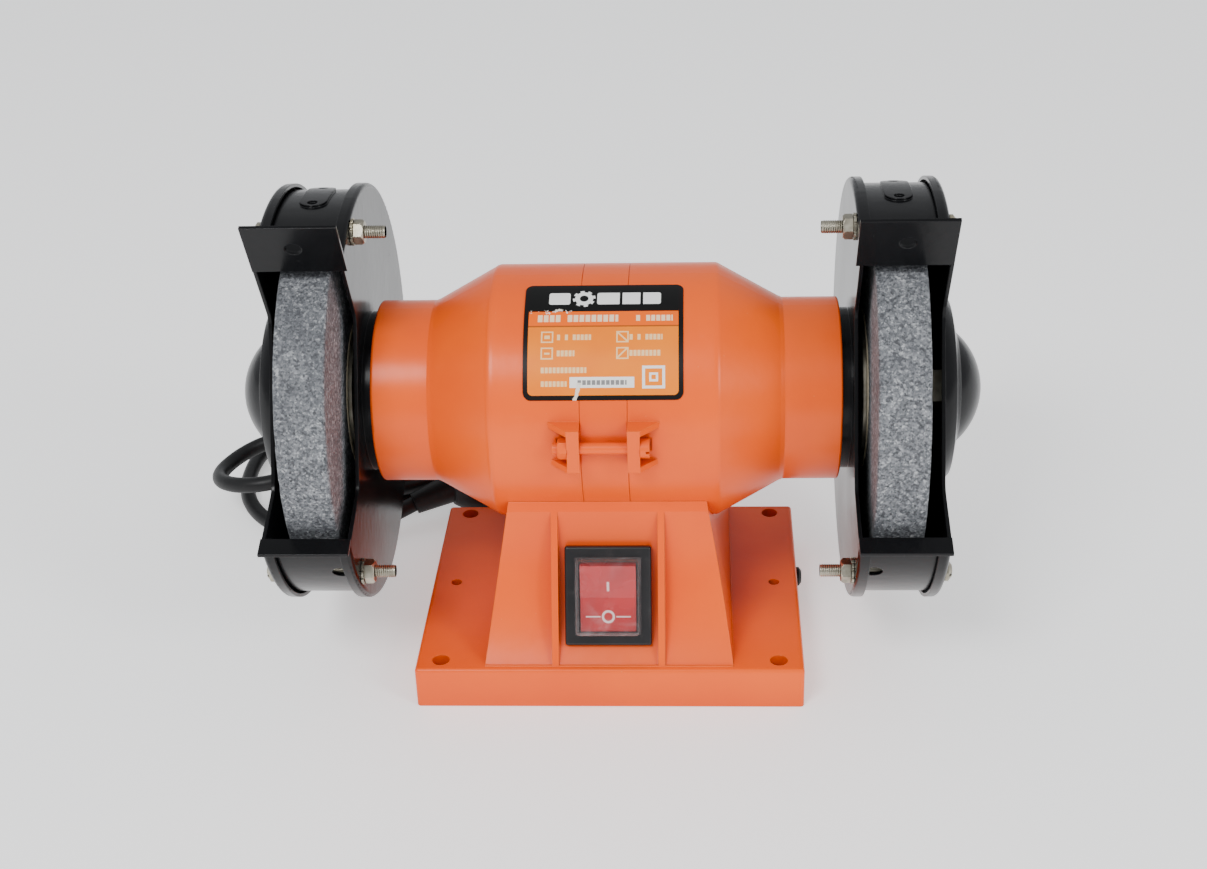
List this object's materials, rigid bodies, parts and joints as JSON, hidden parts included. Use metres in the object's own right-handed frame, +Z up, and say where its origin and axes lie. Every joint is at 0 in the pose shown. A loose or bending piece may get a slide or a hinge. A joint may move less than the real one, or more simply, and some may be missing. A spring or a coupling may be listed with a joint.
{
  "type": "bench grinder",
  "caption": "Small bench grinder: guarded abrasive wheels on both ends of a motor, on a cast pedestal with a rocker switch and mains lead.",
  "frame": {"origin": "middle of the base's underside, between its four bolt holes", "axes": "+X to the right along the motor shaft, +Y to the back, +Z up"},
  "size_m": [0.2849, 0.2185, 0.1654],
  "materials": {
    "orange_enamel": "gloss orange enamel on a die casting",
    "black_enamel": "gloss black enamel on pressed steel",
    "zinc_plate": "zinc plated",
    "bearing_steel": "ground",
    "cage_plastic": "moulded",
    "core_steel": "stacked sheet",
    "copper": "enamelled copper wire",
    "abrasive": "grey bonded abrasive grit, dull",
    "blotter_paper": "card",
    "label_film": "printed film",
    "switch_black": "moulded",
    "switch_red": "clear red",
    "clear_cap": "clear soft plastic",
    "plated_brass": "nickel plated",
    "capacitor_white": "moulded",
    "wire_insulation": "insulated wire",
    "cord_rubber": "satin black",
    "tie_black": "hook and loop strap"
  },
  "bodies": {
    "frame": {"base_pedestal": "orange_enamel", "bottom_cover": "zinc_plate", "bottom_cover_screws": "zinc_plate", "pedestal_screws": "zinc_plate", "side_plug": "cord_rubber", "right_housing": "orange_enamel", "left_housing": "orange_enamel", "stator_band": "orange_enamel", "tie_screws": "orange_enamel", "tie_nuts": "orange_enamel", "nameplate": "label_film", "stator_core": "core_steel", "stator_windings": "copper", "right_bearing_outer": "bearing_steel", "left_bearing_outer": "bearing_steel", "wave_washer": "bearing_steel", "right_inner_guard": "black_enamel", "left_inner_guard": "black_enamel", "right_guard_band": "black_enamel", "left_guard_band": "black_enamel", "right_outer_cover": "black_enamel", "left_outer_cover": "black_enamel", "guard_screws": "zinc_plate", "cover_bolts": "zinc_plate", "cover_nuts": "zinc_plate", "lock_washers": "zinc_plate", "switch_housing": "switch_black", "switch_dust_cover": "clear_cap", "switch_terminals": "plated_brass", "run_capacitor": "capacitor_white", "capacitor_clip": "zinc_plate", "terminal_block": "capacitor_white", "motor_leads": "wire_insulation", "strain_relief": "cord_rubber", "power_cord_lead": "cord_rubber", "power_cord_tail": "cord_rubber", "power_cord_coil": "cord_rubber", "cord_tie": "tie_black", "mains_plug": "cord_rubber", "plug_pins": "plated_brass"},
    "rotor": {"rotor_core": "core_steel", "rotor_shaft": "bearing_steel", "right_bearing_inner": "bearing_steel", "left_bearing_inner": "bearing_steel", "right_inner_flange": "zinc_plate", "left_inner_flange": "zinc_plate", "right_outer_flange": "zinc_plate", "left_outer_flange": "zinc_plate", "right_wheel": "abrasive", "left_wheel": "abrasive", "right_blotters": "blotter_paper", "left_blotters": "blotter_paper", "right_wheel_nut": "zinc_plate", "left_wheel_nut": "zinc_plate"},
    "rocker": {"switch_rocker": "switch_red"},
    "right_cage": {"right_bearing_balls": "bearing_steel", "right_bearing_cage": "cage_plastic"},
    "left_cage": {"left_bearing_balls": "bearing_steel", "left_bearing_cage": "cage_plastic"}
  },
  "joints": [
    {"name": "rotor_spin", "type": "hinge", "parent": "frame", "child": "rotor", "pos_m": [0, 0.0082, 0.0874], "axis": [1, 0, 0], "continuous": true},
    {"name": "right_cage_spin", "type": "hinge", "parent": "frame", "child": "right_cage", "pos_m": [0.0669, 0.0082, 0.0874], "axis": [1, 0, 0], "continuous": true},
    {"name": "left_cage_spin", "type": "hinge", "parent": "frame", "child": "left_cage", "pos_m": [-0.0669, 0.0082, 0.0874], "axis": [1, 0, 0], "continuous": true},
    {"name": "rocker_tilt", "type": "hinge", "parent": "frame", "child": "rocker", "pos_m": [0, -0.03501, 0.0335], "axis": [1, 0, 0], "range_deg": [-16, 0]}
  ],
  "couplings": [
    {"joint": "right_cage_spin", "follows": "rotor_spin", "ratio": 0.38},
    {"joint": "left_cage_spin", "follows": "rotor_spin", "ratio": 0.38}
  ]
}
